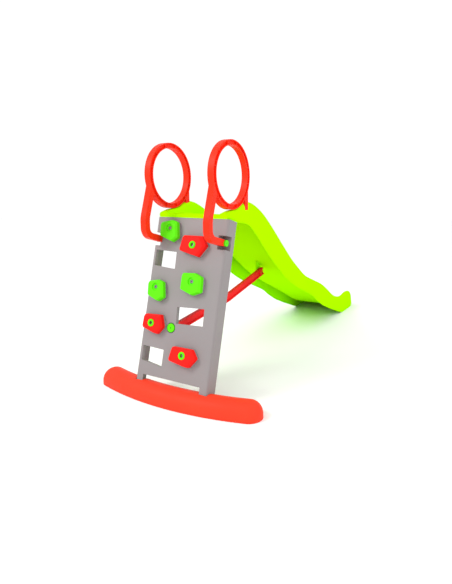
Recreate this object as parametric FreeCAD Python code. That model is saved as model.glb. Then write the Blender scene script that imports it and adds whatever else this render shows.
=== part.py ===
"""Toddler slide with a climbing wall: a leaning panel with bolt-on holds, two
ring handles, a moulded slide, a bow-shaped base and one bent brace.

Millimetres, +Z up, +X to the climber's right, +Y from the climber to the foot
of the slide. The origin lies on the floor under the middle of the bounding box.
Panel coordinates are (u, d, v): u across, d into the wall from its climbing
face, v up the slope from the line where that face meets the floor."""
import FreeCAD
import Part
import math
import os
from FreeCAD import Vector

# ---- driving dimensions: climbing panel -------------------------------------
PANEL_WIDTH = 418.0
PANEL_SLANT = 886.0          # up the slope, floor line to top edge
PANEL_DEPTH = 69.4           # flange depth
PANEL_LEAN = 15.3            # degrees from vertical
PANEL_WALL = 5.0
PANEL_CORNER = 12.0          # outer radius of the upright corners
PANEL_LOWER_EDGE = 110.8     # where the climbing face stops above the base
FOOT_WIDTH = 41.6
FOOT_PAD = 12.0              # solid sole at the end of each foot
RIB_DEPTH = 20.0
RIB_WALL = 3.0
TOP_WALL_DEPTH = 45.0
WINDOW_COLLAR = 20.0         # depth of the collar round a window
PLINTH = 10.0                # raised pad under each hold
PLINTH_ROOF = 4.0
# ---- notches for the handle feet ---------------------------------------------
NOTCH_HEIGHT = 66.0
NOTCH_DEPTH = 42.0
NOTCH_BELOW_TOP = 110.0      # centre line, down the slope from the top edge
LINER_WALL = 3.0
# ---- holds --------------------------------------------------------------------
HOLD_HEIGHT = 24.0           # above its plinth
HOLD_STEP = 16.0             # height where the bevel starts
HOLD_CORNER = 9.0
HOLD_WALL = 4.0
HOLD_BOSS = 40.0
HOLD_BORE = 20.0
HOLD_SEAT = 13.0             # bolt head's seat above the plinth
HOLD_RECESS = 38.0           # round dish about the bolt of a green hold
HOLD_RECESS_DEPTH = 6.0
# ---- fasteners ------------------------------------------------------------------
BOLT = 8.0
BOLT_HEAD = 17.0
BOLT_HEAD_HEIGHT = 5.0
NUT_HEIGHT = 6.5
NUT_FLATS = 13.0
HEX_KEY = 6.0
SMALL_SCREW = 6.0
SMALL_HEAD = 12.0
HOLE_GAP = 0.2               # all round a shank in its hole
SEAT_GAP = 0.3               # between curved or sliding faces that seat
RING_CAP = 36.0              # green ring round the bolt of a red hold
RING_CAP_HEIGHT = 8.0
# ---- handles --------------------------------------------------------------------
RING_RADIUS = 159.9
RING_RIM = 25.2              # radial width of the ring
RING_BACK = 59.0             # ring's middle behind the front of the deck
RING_RISE = 28.0             # lowest point of the ring above the deck
HANDLE_INSET = 29.8          # handle's mid-plane in from the panel's side
HANDLE_THICK = 31.7
LEG_WIDTH = 30.0
HANDLE_GROOVE = 9.0          # depth of the lightening groove on each side
HANDLE_EDGE = 5.0
GROOVE_RIB = 3.0
GROOVE_RIB_COUNT = 12
FRONT_LEG_AHEAD = 26.4       # upright stretch of the front leg, in front of the ring
REAR_LEG_SHARE = 0.7892      # of the ring's radius, behind its middle
REAR_LEG_BURIED = 62.0       # length of the rear leg in its socket
FOOT_BOLT_DEPTH = 15.0       # d of the bolt in the foot
FOOT_CAP = 30.0
FOOT_CAP_HEIGHT = 8.5
# ---- slide ------------------------------------------------------------------------
SLIDE_NARROWER = 9.0         # than the panel, to the ridge on each side
SLIDE_FLARE = 12.0           # how much wider the foot of the slide is
SLIDE_WALL = 3.6
SLIDE_END_Y = 2252.0
DECK_RISE = 13.4             # deck above the panel's top edge
SADDLE_GAP = 1.6             # ring above the rail that it sits on
RAIL_CAP = 46.0              # width of the rail, outside to inside
SKIRT_INSET = 12.0
BAND_INSET = 9.0
SOCKET_WALL = 3.0
FOOT_TRIM = 3.0               # cut off flat where the slide's lower edges reach the floor
# ---- base ---------------------------------------------------------------------------
BASE_RADIUS = 62.0           # half-round top of its section
BASE_STEM = 18.0             # upright sides below the half round
BASE_HALF_LENGTH = 462.0
BASE_SAG = 55.0              # how far its ends curve back
BASE_Y = 20.0                # centre line at x = 0
BASE_WALL = 4.0
POCKET_FLOOR = 16.0
POCKET_FLOOR_WALL = 5.0
POCKET_GAP = 2.0
# ---- brace ----------------------------------------------------------------------------
BRACE_HEIGHT = 44.0
BRACE_THICK = 20.0
BRACE_GROOVE = 7.0
BRACE_FOOT_U = -37.6
BRACE_FOOT_SHARE = 0.312     # of the climbing face, from its lower edge
BRACE_FOOT_DEPTH = 34.0
BRACE_BEND_U = -3.2
BRACE_BEND_BACK = 109.0      # behind the crest of the slide
BRACE_BEND_SHARE = 0.4593    # of the deck's height
BRACE_END_U = 25.0
BRACE_END_BACK = 456.7       # behind the crest of the slide
BRACE_END_SHARE = 0.5712     # of the deck's height
BRACE_PAD_STEP = 2.5         # raised pad at the bolt, towards the slide's lug
LUG_THICK = 10.0             # of the lug that hangs from the slide for the brace
LUG_HALF_WIDTH = 22.0
BRACE_BOLT_BACK = 28.0       # bolt to the end of the brace
BRACE_CAP = 41.0
BRACE_RECESS = 50.0
RECESS_DEPTH = 7.0

HALF = PANEL_WIDTH / 2
LEAN = math.radians(PANEL_LEAN)
SIN, COS = math.sin(LEAN), math.cos(LEAN)
X_AXIS, Y_AXIS, Z_AXIS = Vector(1, 0, 0), Vector(0, 1, 0), Vector(0, 0, 1)
# Sizes that follow from the ones above
TOP_FRONT_Y = PANEL_SLANT * SIN - 2.0
DECK_Z = PANEL_SLANT * COS + DECK_RISE
RING_Y = TOP_FRONT_Y + RING_BACK
RING_Z = DECK_Z + RING_RISE + RING_RADIUS
HANDLE_MID_X = HALF - HANDLE_INSET
FRONT_LEG_Y = RING_Y - RING_RADIUS - FRONT_LEG_AHEAD
REAR_LEG_Y = RING_Y + REAR_LEG_SHARE * RING_RADIUS
SLIDE_HALF = HALF - SLIDE_NARROWER
SADDLE_Z = RING_Z - RING_RADIUS - SADDLE_GAP
CREST_Y = REAR_LEG_Y + 25.0
RUN = SLIDE_END_Y - CREST_Y
BRACE_BEND = Vector(BRACE_BEND_U, CREST_Y + BRACE_BEND_BACK, BRACE_BEND_SHARE * DECK_Z)
BRACE_END = Vector(BRACE_END_U, CREST_Y + BRACE_END_BACK, BRACE_END_SHARE * DECK_Z)


# ---- small helpers --------------------------------------------------------------------
def box(x0, x1, y0, y1, z0, z1):
    return Part.makeBox(x1 - x0, y1 - y0, z1 - z0, Vector(x0, y0, z0))


def rod(radius, start, end):
    return Part.makeCylinder(radius, (end - start).Length, start, end - start)


def leaned(shape):
    """Panel coordinates to the object's."""
    copy = shape.copy()
    copy.rotate(Vector(0, 0, 0), X_AXIS, -PANEL_LEAN)
    return copy


def leaned_point(u, d, v):
    return Vector(u, v * SIN + d * COS, v * COS - d * SIN)


def slope_at(y, z):
    """Panel coordinates (d, v) of a point of the side view."""
    return y * COS - z * SIN, y * SIN + z * COS


def share(part):
    """A height on the climbing face, as a part of the way up it."""
    return PANEL_LOWER_EDGE + part * (PANEL_SLANT - PANEL_LOWER_EDGE)


def mirrored(shape):
    return shape.mirror(Vector(0, 0, 0), X_AXIS)


def prism(start, end, flats):
    """A hexagon between two points, for nuts and sockets."""
    axis = (end - start).normalize()
    side = axis.cross(Z_AXIS if abs(axis.z) < 0.9 else X_AXIS).normalize()
    up = axis.cross(side)
    radius = flats / math.sqrt(3)
    ring = []
    for corner in range(7):
        turn = math.radians(60 * corner)
        ring.append(start + side * (radius * math.cos(turn)) + up * (radius * math.sin(turn)))
    return Part.Face(Part.makePolygon(ring)).extrude(end - start)


def bolt(seat, direction, length, shank=BOLT, head=BOLT_HEAD, height=BOLT_HEAD_HEIGHT):
    """A socket-head bolt whose head stands on seat and whose shank goes along direction."""
    along = Vector(direction).normalize()
    body = rod(shank / 2, seat, seat + along * length)
    body = body.fuse(rod(head / 2, seat - along * height, seat))
    socket = prism(seat - along * (height + 1), seat - along * (height * 0.35), HEX_KEY)
    return body.cut(socket)


def nut(seat, direction, shank=BOLT, flats=NUT_FLATS, height=NUT_HEIGHT):
    """A flanged nut that starts at seat and goes along direction."""
    along = Vector(direction).normalize()
    body = prism(seat, seat + along * height, flats)
    body = body.fuse(rod(flats * 0.72, seat, seat + along * 1.6))
    return body.cut(rod(shank / 2 + HOLE_GAP, seat - along, seat + along * (height + 1)))


def rounded_outline(corners, radius, depth):
    """A closed wire in panel coordinates at one depth, each corner an arc."""
    points = [Vector(u, depth, v) for u, v in corners]
    edges, joins = [], []
    count = len(points)
    for i, corner in enumerate(points):
        before = (points[i - 1] - corner).normalize()
        after = (points[(i + 1) % count] - corner).normalize()
        half_turn = before.getAngle(after) / 2
        reach = radius / math.tan(half_turn)
        middle = (before + after).normalize()
        centre = corner + middle * (radius / math.sin(half_turn))
        joins.append((corner + before * reach, centre - middle * radius, corner + after * reach))
    for i, (start, middle, end) in enumerate(joins):
        edges.append(Part.Arc(start, middle, end).toShape())
        edges.append(Part.LineSegment(end, joins[(i + 1) % count][0]).toShape())
    return Part.Wire(edges)


def scaled(corners, factor, shift=(0.0, 0.0)):
    cu = sum(u for u, v in corners) / len(corners)
    cv = sum(v for u, v in corners) / len(corners)
    return [(cu + (u - cu) * factor + shift[0], cv + (v - cv) * factor + shift[1]) for u, v in corners]


def pad(corners, radius, d0, d1):
    return Part.Face(rounded_outline(corners, radius, d0)).extrude(Vector(0, d1 - d0, 0))


# ---- layout of the climbing face -----------------------------------------------------------
GREEN_TOP = [(-61, 28), (6, 42), (39, 31), (54, -44), (22, -67), (-53, -42)]
GREEN_WIDE = [(-61, 38), (10, 42), (52, 25), (57, -46), (8, -65), (-62, -42)]
GREEN_NARROW = [(-49, 26), (6, 37), (40, 27), (55, -46), (22, -69), (-43, -44)]
RED_TOP = [(-77, -22), (-64, 45), (46, 46), (77, 0), (36, -56), (-73, -32)]
RED_BOTTOM = [(-79, -24), (-66, 34), (48, 35), (77, -4), (38, -52), (-74, -34)]
RED_NARROW = [(-54, -16), (-51, 40), (50, 45), (70, -12), (40, -51), (-49, -27)]
HOLDS = {                    # outline, distance from the nearer side edge, share of the height
    "hold_green_top_left": (GREEN_TOP, -HALF + 106.0, 0.925),
    "hold_green_mid_left": (GREEN_NARROW, -HALF + 69.0, 0.551),
    "hold_green_mid_right": (GREEN_WIDE, HALF - 143.0, 0.608),
    "hold_red_top_right": (RED_TOP, HALF - 164.0, 0.829),
    "hold_red_low_left": (RED_NARROW, -HALF + 74.0, 0.327),
    "hold_red_bottom_right": (RED_BOTTOM, HALF - 140.0, 0.166),
}
WINDOWS = [                  # corners: distance from the nearer side edge, share of the height
    [(-HALF + 18, 0.788), (-HALF + 144, 0.783), (-HALF + 146, 0.675), (-HALF + 18, 0.687)],
    [(HALF - 227, 0.444), (HALF - 71, 0.454), (HALF - 68, 0.350), (HALF - 222, 0.342)],
    [(-HALF + 19, 0.178), (-HALF + 146, 0.172), (-HALF + 146, 0.064), (-HALF + 19, 0.087)],
]
RIBS = (0.038, 0.264, 0.502, 0.632, 0.800)


def window_corners(corners):
    return [(u, share(part)) for u, part in corners]


def notch_centre():
    return PANEL_SLANT - NOTCH_BELOW_TOP


def brace_foot_v():
    return share(BRACE_FOOT_SHARE)


# ---- climbing panel ---------------------------------------------------------------------------
def channel(half, corner, front, back, v0, v1):
    """The panel's cross-section, rounded at its two front corners, run up the slope."""
    k = corner * (1 - math.sqrt(0.5))        # where an arc's middle lies
    left, right = -half, half
    edges = [
        Part.LineSegment(Vector(left, back, v0), Vector(left, front + corner, v0)).toShape(),
        Part.Arc(Vector(left, front + corner, v0), Vector(left + k, front + k, v0),
                 Vector(left + corner, front, v0)).toShape(),
        Part.LineSegment(Vector(left + corner, front, v0), Vector(right - corner, front, v0)).toShape(),
        Part.Arc(Vector(right - corner, front, v0), Vector(right - k, front + k, v0),
                 Vector(right, front + corner, v0)).toShape(),
        Part.LineSegment(Vector(right, front + corner, v0), Vector(right, back, v0)).toShape(),
        Part.LineSegment(Vector(right, back, v0), Vector(left, back, v0)).toShape(),
    ]
    return Part.Face(Part.Wire(edges)).extrude(Vector(0, 0, v1 - v0))


def make_panel():
    outer = channel(HALF, PANEL_CORNER, 0, PANEL_DEPTH, -40, PANEL_SLANT)
    inner = channel(HALF - PANEL_WALL, PANEL_CORNER - PANEL_WALL, PANEL_WALL, PANEL_DEPTH + 5, -50,
                    PANEL_SLANT + 5)
    shell = outer.cut(inner)
    foot_inner = HALF - FOOT_WIDTH
    shell = shell.cut(box(-foot_inner, foot_inner, -5, PANEL_DEPTH + 5, -60, PANEL_LOWER_EDGE))

    additions = []
    for level in RIBS:
        v = share(level)
        additions.append(box(-HALF + 1, HALF - 1, 1, PANEL_WALL + RIB_DEPTH, v, v + RIB_WALL))
    additions.append(box(-HALF + 1, HALF - 1, 1, TOP_WALL_DEPTH, PANEL_SLANT - PANEL_WALL, PANEL_SLANT))
    for corners in WINDOWS:
        additions.append(pad(scaled(window_corners(corners), 1.08), 6, 1, WINDOW_COLLAR))
    v0, v1 = notch_centre() - NOTCH_HEIGHT / 2, notch_centre() + NOTCH_HEIGHT / 2
    for side in (-1, 1):
        edge = side * (HALF - 1)
        deep = side * (HANDLE_MID_X - HANDLE_THICK / 2 - SEAT_GAP)
        liner = box(min(edge, deep - side * LINER_WALL), max(edge, deep - side * LINER_WALL),
                    1, NOTCH_DEPTH + LINER_WALL, v0 - LINER_WALL, v1 + LINER_WALL)
        additions.append(liner)
        tread = box(min(edge, side * foot_inner), max(edge, side * foot_inner), 1, PANEL_DEPTH - 1, -50, 110)
        additions.append(tread.common(foot_sole()))
    recess_v = brace_foot_v()
    centre = Vector(BRACE_FOOT_U, 0, recess_v)
    additions.append(rod(BRACE_RECESS / 2 + 4, centre + Y_AXIS, centre + Y_AXIS * (RECESS_DEPTH + PANEL_WALL)))
    for outline, u, level in HOLDS.values():
        moved = [(u + du, share(level) + dv) for du, dv in outline]
        additions.append(pad(moved, HOLD_CORNER, -PLINTH, 1))
    shell = shell.fuse([piece.common(outer) if piece.BoundBox.YMin > -1 else piece for piece in additions])

    cuts = []
    for corners in WINDOWS:
        cuts.append(pad(window_corners(corners), 3, -5, WINDOW_COLLAR + 5))
    for side in (-1, 1):
        edge = side * (HALF + 5)
        deep = side * (HANDLE_MID_X - HANDLE_THICK / 2 - SEAT_GAP)
        cuts.append(box(min(edge, deep), max(edge, deep), -5, NOTCH_DEPTH, v0, v1))
        start = Vector(deep + side, FOOT_BOLT_DEPTH, notch_centre())
        cuts.append(rod(BOLT / 2 + HOLE_GAP, start, start - X_AXIS * (side * 20)))
    cuts.append(rod(BRACE_RECESS / 2, centre - Y_AXIS * 5, centre + Y_AXIS * RECESS_DEPTH))
    cuts.append(rod(BOLT / 2 + HOLE_GAP, centre - Y_AXIS * 5, centre + Y_AXIS * 40))
    for outline, u, level in HOLDS.values():
        moved = [(u + du, share(level) + dv) for du, dv in outline]
        cuts.append(pad(scaled(moved, 0.9), HOLD_CORNER, PLINTH_ROOF - PLINTH, PANEL_WALL + 1))
        screw = Vector(u, 0, share(level))
        cuts.append(rod(BOLT / 2 + HOLE_GAP, screw - Y_AXIS * 20, screw + Y_AXIS * 20))
    shell = shell.cut(cuts)
    shell = leaned(shell)
    floor = Part.makeBox(2000, 600, 200, Vector(-1000, -300, POCKET_FLOOR - 200))
    shell = shell.cut(floor)
    drills = [rod(SMALL_SCREW / 2 + HOLE_GAP, point - Z_AXIS * 10, point + Z_AXIS * (FOOT_PAD + 2))
              for point in base_screw_points()]
    drills += [rod(SMALL_SCREW / 2 + HOLE_GAP, start - axis * 5, start + axis * 20)
               for start, axis in deck_screw_places()]
    return shell.cut(drills).removeSplitter()


def foot_sole():
    """Everything within the thickness of the feet's soles, in panel coordinates."""
    slab = box(-500, 500, -400, 600, POCKET_FLOOR - 1, POCKET_FLOOR + FOOT_PAD)
    slab.rotate(Vector(0, 0, 0), X_AXIS, PANEL_LEAN)
    return slab


def base_screw_points():
    """Where the screws pass up through the pocket floors into the feet."""
    points = []
    for side in (-1, 1):
        for depth in (0.3, 0.7):
            centre = leaned_point(0, PANEL_DEPTH * depth, POCKET_FLOOR / COS + PANEL_DEPTH * depth * math.tan(LEAN))
            points.append(Vector(side * (HALF - FOOT_WIDTH / 2), centre.y, POCKET_FLOOR))
    return points


def deck_screw_places():
    """Seats of the screws that hold the deck down on the panel's top wall."""
    axis = Vector(0, SIN, COS)
    return [(leaned_point(side * 90.0, 28.0, PANEL_SLANT - PANEL_WALL), axis) for side in (-1, 1)]


# ---- holds --------------------------------------------------------------------------------------
def place_on_face(name):
    outline, u, level = HOLDS[name]
    return outline, Vector(u, 0, share(level))


def make_hold(name):
    outline, spot = place_on_face(name)
    corners = [(spot.x + du, spot.z + dv) for du, dv in outline]
    top = scaled(corners, 0.84, (-4.0, -3.0))
    back, step, front = -PLINTH, -(PLINTH + HOLD_STEP), -(PLINTH + HOLD_HEIGHT)
    body = Part.makeLoft([rounded_outline(corners, HOLD_CORNER, back),
                          rounded_outline(scaled(corners, 0.96), HOLD_CORNER, step)], True, True)
    body = body.fuse(Part.makeLoft([rounded_outline(scaled(corners, 0.96), HOLD_CORNER, step),
                                    rounded_outline(top, HOLD_CORNER, front)], True, True))
    hollow = pad(scaled(corners, 0.86), HOLD_CORNER * 0.6, back + 1, step + HOLD_WALL)
    boss = rod(HOLD_BOSS / 2, spot + Y_AXIS * back, spot + Y_AXIS * step)
    body = body.cut(hollow.cut(boss))
    bore_floor = -(PLINTH + HOLD_SEAT)
    body = body.cut(rod(HOLD_BORE / 2, spot + Y_AXIS * bore_floor, spot + Y_AXIS * (front - 5)))
    body = body.cut(rod(BOLT / 2 + HOLE_GAP, spot + Y_AXIS * 5, spot + Y_AXIS * front))
    if name.startswith("hold_red"):
        shelf = front + RING_CAP_HEIGHT - 2.0
        body = body.cut(rod(RING_CAP / 2, spot + Y_AXIS * shelf, spot + Y_AXIS * (front - 5)))
    else:
        dish = front + HOLD_RECESS_DEPTH
        body = body.cut(rod(HOLD_RECESS / 2, spot + Y_AXIS * dish, spot + Y_AXIS * (front - 5)))
    return leaned(body.removeSplitter())


def make_hold_rings():
    rings = []
    for name in HOLDS:
        if name.startswith("hold_red"):
            outline, spot = place_on_face(name)
            shelf = -(PLINTH + HOLD_HEIGHT) + RING_CAP_HEIGHT - 2.0
            start, end = spot + Y_AXIS * shelf, spot + Y_AXIS * (shelf - RING_CAP_HEIGHT)
            ring = rod(RING_CAP / 2 - HOLE_GAP, start, end)
            ring = ring.cut(rod(BOLT_HEAD / 2 + 0.5, start + Y_AXIS, end - Y_AXIS))
            rings.append(leaned(ring))
    return Part.makeCompound(rings)


def make_hold_bolts():
    bolts = []
    for name in HOLDS:
        outline, spot = place_on_face(name)
        seat = spot - Y_AXIS * (PLINTH + HOLD_SEAT)
        bolts.append(leaned(bolt(seat, Y_AXIS, HOLD_SEAT + PLINTH + NUT_HEIGHT - 1.0)))
    return Part.makeCompound(bolts)


def make_hold_nuts():
    nuts = []
    for name in HOLDS:
        outline, spot = place_on_face(name)
        nuts.append(leaned(nut(spot - Y_AXIS * (PLINTH - PLINTH_ROOF), Y_AXIS)))
    return Part.makeCompound(nuts)


# ---- handles ----------------------------------------------------------------------------------------
def foot_bolt_place():
    """Side-view place (y, z) of the bolt through a handle's foot."""
    point = leaned_point(0, FOOT_BOLT_DEPTH, notch_centre())
    return point.y, point.z


def leg_centre_line():
    """Corners and corner radii of the front leg's centre line, in the side view."""
    foot_y, foot_z = foot_bolt_place()
    bend_z = foot_z + (foot_y - FRONT_LEG_Y) * math.tan(LEAN)
    leave = math.radians(201.0)
    mid = RING_RADIUS - RING_RIM / 2
    top = (RING_Y + mid * math.cos(leave), RING_Z + mid * math.sin(leave))
    return [top, (FRONT_LEG_Y, bend_z + 78.0), (FRONT_LEG_Y, bend_z), (foot_y, foot_z)], (110.0, 44.0)


def band(points, radii, half_width, x0, x1):
    """A bar of constant width along straight runs joined by tangent arcs, run along X."""
    line = [Vector(x0, y, z) for y, z in points]
    edges, start = [], line[0]
    for i, radius in enumerate(radii):
        corner = line[i + 1]
        before = (line[i] - corner).normalize()
        after = (line[i + 2] - corner).normalize()
        half_turn = before.getAngle(after) / 2
        reach = radius / math.tan(half_turn)
        middle = (before + after).normalize()
        centre = corner + middle * (radius / math.sin(half_turn))
        edges.append(Part.LineSegment(start, corner + before * reach).toShape())
        edges.append(Part.Arc(corner + before * reach, centre - middle * radius,
                              corner + after * reach).toShape())
        start = corner + after * reach
    edges.append(Part.LineSegment(start, line[-1]).toShape())
    first = (edges[0].Vertexes[1].Point - edges[0].Vertexes[0].Point).normalize()
    side = first.cross(X_AXIS) * half_width
    across = Vector(x1 - x0, 0, 0)
    a = line[0]
    section = Part.makePolygon([a + side, a - side, a - side + across, a + side + across, a + side])
    return Part.Wire(edges).makePipeShell([section], True, True)


def make_handle(side):
    x0, x1 = HANDLE_MID_X - HANDLE_THICK / 2, HANDLE_MID_X + HANDLE_THICK / 2
    centre = Vector(x0, RING_Y, RING_Z)
    rise = Vector(HANDLE_THICK, 0, 0)
    foot_y, foot_z = foot_bolt_place()
    points, radii = leg_centre_line()
    leg = band(points, radii, LEG_WIDTH / 2, x0, x1)
    toe = rod(LEG_WIDTH / 2, Vector(x0, foot_y, foot_z), Vector(x1, foot_y, foot_z))
    rear = box(x0, x1, REAR_LEG_Y - LEG_WIDTH / 2, REAR_LEG_Y + LEG_WIDTH / 2,
               rear_leg_bottom(), RING_Z - RING_RADIUS * 0.42)
    hole = rod(RING_RADIUS - RING_RIM, centre - X_AXIS, centre + rise + X_AXIS)
    body = rod(RING_RADIUS, centre, centre + rise).fuse([leg, toe, rear]).cut(hole)

    grooves = []
    for g0, g1 in ((x0 - 1, x0 + HANDLE_GROOVE), (x1 - HANDLE_GROOVE, x1 + 1)):
        a, b = Vector(g0, RING_Y, RING_Z), Vector(g1, RING_Y, RING_Z)
        channel_ring = rod(RING_RADIUS - HANDLE_EDGE, a, b)
        channel_ring = channel_ring.cut(rod(RING_RADIUS - RING_RIM + HANDLE_EDGE, a - X_AXIS, b + X_AXIS))
        bars = []
        for count in range(GROOVE_RIB_COUNT):
            bar = box(g0 - 1, g1 + 1, RING_Y - GROOVE_RIB / 2, RING_Y + GROOVE_RIB / 2, RING_Z,
                      RING_Z + RING_RADIUS + 5)
            bar.rotate(centre, X_AXIS, 360.0 * (count + 0.5) / GROOVE_RIB_COUNT)
            bars.append(bar)
        grooves.append(channel_ring.cut(bars))
    body = body.cut(grooves)
    body = body.cut(rod(BOLT / 2 + HOLE_GAP, Vector(x0 - 1, foot_y, foot_z), Vector(x1 + 1, foot_y, foot_z)))
    screw_z = rear_screw_z()
    body = body.cut(rod(SMALL_SCREW / 2 + HOLE_GAP, Vector(x0 - 1, REAR_LEG_Y, screw_z),
                        Vector(x0 + 18, REAR_LEG_Y, screw_z)))
    body = body.removeSplitter()
    return body if side > 0 else mirrored(body)


def rear_leg_bottom():
    return rim_z(REAR_LEG_Y) - REAR_LEG_BURIED


def rear_screw_z():
    return rim_z(REAR_LEG_Y) - REAR_LEG_BURIED / 2


def make_foot_bolt(side):
    """Green-capped bolt through a handle's foot into the panel's notch liner."""
    foot_y, foot_z = foot_bolt_place()
    outer = HANDLE_MID_X + HANDLE_THICK / 2
    inner = HANDLE_MID_X - HANDLE_THICK / 2 - SEAT_GAP - LINER_WALL
    seat = Vector(outer, foot_y, foot_z)
    piece = bolt(seat, -X_AXIS, outer - inner + NUT_HEIGHT, head=FOOT_CAP, height=FOOT_CAP_HEIGHT)
    return piece if side > 0 else mirrored(piece)


def make_foot_nuts():
    foot_y, foot_z = foot_bolt_place()
    inner = HANDLE_MID_X - HANDLE_THICK / 2 - SEAT_GAP - LINER_WALL
    piece = nut(Vector(inner, foot_y, foot_z), -X_AXIS)
    return Part.makeCompound([piece, mirrored(piece)])


# ---- slide ----------------------------------------------------------------------------------------------
def blend_line(knots, y):
    """A smooth line through a few knots (y, value), level with its neighbours' trend at each."""
    if y <= knots[0][0]:
        return knots[0][1]
    if y >= knots[-1][0]:
        return knots[-1][1]
    slopes = []
    for i in range(len(knots)):
        low, high = max(i - 1, 0), min(i + 1, len(knots) - 1)
        slopes.append((knots[high][1] - knots[low][1]) / (knots[high][0] - knots[low][0]))
    for i in range(len(knots) - 1):
        (ya, za), (yb, zb) = knots[i], knots[i + 1]
        if y <= yb:
            run = yb - ya
            t = (y - ya) / run
            return ((2 * t ** 3 - 3 * t ** 2 + 1) * za + (t ** 3 - 2 * t ** 2 + t) * run * slopes[i]
                    + (3 * t ** 2 - 2 * t ** 3) * zb + (t ** 3 - t ** 2) * run * slopes[i + 1])
    return knots[-1][1]


def down(part, z_share):
    """A knot of the slope: share of the run past the crest, share of the deck's height."""
    return CREST_Y + part * RUN, z_share * DECK_Z


RIM = [(TOP_FRONT_Y, DECK_Z + 14), (TOP_FRONT_Y + 30, SADDLE_Z - 4), (RING_Y, SADDLE_Z),
       (RING_Y + 50, SADDLE_Z + 5), (REAR_LEG_Y - 20, SADDLE_Z + 28), (CREST_Y, SADDLE_Z + 35),
       down(0.035, 1.055), down(0.087, 1.002), down(0.143, 0.918), down(0.214, 0.798),
       down(0.294, 0.665), down(0.347, 0.590), down(0.422, 0.495), down(0.515, 0.421),
       down(0.593, 0.361), down(0.656, 0.295), down(0.722, 0.218), down(0.776, 0.173),
       down(0.832, 0.156), down(0.890, 0.170), down(0.938, 0.157), down(0.970, 0.110),
       down(0.987, 0.060), down(1.0, 0.022)]
RIDGE = [(TOP_FRONT_Y, DECK_Z - 4), (RING_Y + 14, DECK_Z - 22), (CREST_Y - 10, DECK_Z - 47),
         down(0.041, 0.879), down(0.098, 0.773), down(0.166, 0.662), down(0.243, 0.547),
         down(0.327, 0.453), down(0.406, 0.384), down(0.486, 0.313), down(0.530, 0.257),
         down(0.60, 0.185), down(0.66, 0.131), down(0.755, 0.060), down(0.82, 0.026),
         down(0.86, 0.020), down(1.0, 0.016)]
SKIRT = [(TOP_FRONT_Y, DECK_Z - 10), (TOP_FRONT_Y + 45, DECK_Z - 22), (RING_Y + 14, DECK_Z - 30),
         (CREST_Y - 10, DECK_Z - 53), down(0.041, 0.873), down(0.098, 0.767), down(0.166, 0.656),
         down(0.243, 0.541), down(0.327, 0.447), down(0.406, 0.378), down(0.486, 0.307),
         down(0.530, 0.251), down(0.598, 0.176), down(0.647, 0.138), down(0.699, 0.100),
         down(0.753, 0.053), down(0.80, 0.018), down(0.835, 0.0), down(1.0, 0.0)]
BED = [(TOP_FRONT_Y, DECK_Z), (RING_Y + 60, DECK_Z), (CREST_Y - 10, DECK_Z - 10),
       down(0.041, 0.945), down(0.098, 0.860), down(0.166, 0.745), down(0.243, 0.625),
       down(0.327, 0.513), down(0.406, 0.430), down(0.486, 0.355), down(0.56, 0.285),
       down(0.64, 0.210), down(0.72, 0.135), down(0.79, 0.085), down(0.85, 0.062),
       down(0.91, 0.050), down(0.96, 0.034), down(1.0, 0.014)]
WIDEN = [(CREST_Y, 0.0), down(0.74, 0.0), (CREST_Y + 0.84 * RUN, SLIDE_FLARE),
         (CREST_Y + 0.95 * RUN, SLIDE_FLARE), (CREST_Y + 0.98 * RUN, 0.0), (SLIDE_END_Y, -22.0)]
STATION_SHARES = (0.0, 0.028, 0.06, 0.10, 0.145, 0.195, 0.25, 0.305, 0.355, 0.41, 0.465, 0.52, 0.575,
                  0.63, 0.685, 0.735, 0.785, 0.835, 0.885, 0.925, 0.955, 0.978, 1.0)


def rim_z(y):
    return blend_line(RIM, y)


def slide_section(y, wall):
    """Half of the slide's cross-section, skirt to middle: points of one skin, wall in from the outside."""
    rim, ridge, skirt, bed = (blend_line(line, y) for line in (RIM, RIDGE, SKIRT, BED))
    out = SLIDE_HALF + blend_line(WIDEN, y)
    rail = max(rim - bed, 4.0)
    skirt = min(skirt, ridge - 6.0)
    below = skirt if skirt > 0.5 else -FOOT_TRIM
    side = min(8.0, (ridge - max(below, 0.0)) * 0.5)
    skirt_out = out - SKIRT_INSET * min(1.0, max(0.35, (ridge - max(below, 0.0)) / 60.0))
    drop = min(15.0, rail * 0.3)
    w = wall
    points = [
        (skirt_out - w, below),
        (skirt_out + 1 - w, ridge - side - w * 0.4),
        (out - w, ridge + min(4.0, rail * 0.2) - w * 0.4),
        (out - BAND_INSET + 2 - w, rim - drop - w * 0.5),
        (out - BAND_INSET - 5 - w * 0.6, rim - drop * 0.22 - w * 0.8),
        (out - RAIL_CAP * 0.45, rim - w),
        (out - RAIL_CAP + 12 + w * 0.6, rim - drop * 0.22 - w * 0.8),
        (out - RAIL_CAP + 4 + w, rim - drop - w * 0.5),
        (out - RAIL_CAP - 3 + w, bed + rail * 0.12 - w * 0.5),
        (out - RAIL_CAP - 14 + w * 0.5, bed + rail * 0.02 - w),
    ]
    return points


def section_wire(y):
    outer = slide_section(y, 0.0)
    inner = slide_section(y, SLIDE_WALL)
    right = [Vector(x, y, z) for x, z in outer]
    left = [Vector(-x, y, z) for x, z in reversed(outer)]
    left_in = [Vector(-x, y, z) for x, z in inner]
    right_in = [Vector(x, y, z) for x, z in reversed(inner)]
    loop = right + left + left_in + right_in
    return Part.makePolygon(loop + [loop[0]])


def head_stations():
    """Cross-sections closer together over the deck and the crest."""
    return [TOP_FRONT_Y, TOP_FRONT_Y + 12, TOP_FRONT_Y + 30, RING_Y - 20, RING_Y + 10, RING_Y + 50,
            REAR_LEG_Y - 42, REAR_LEG_Y - 20, REAR_LEG_Y + 4]


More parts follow.
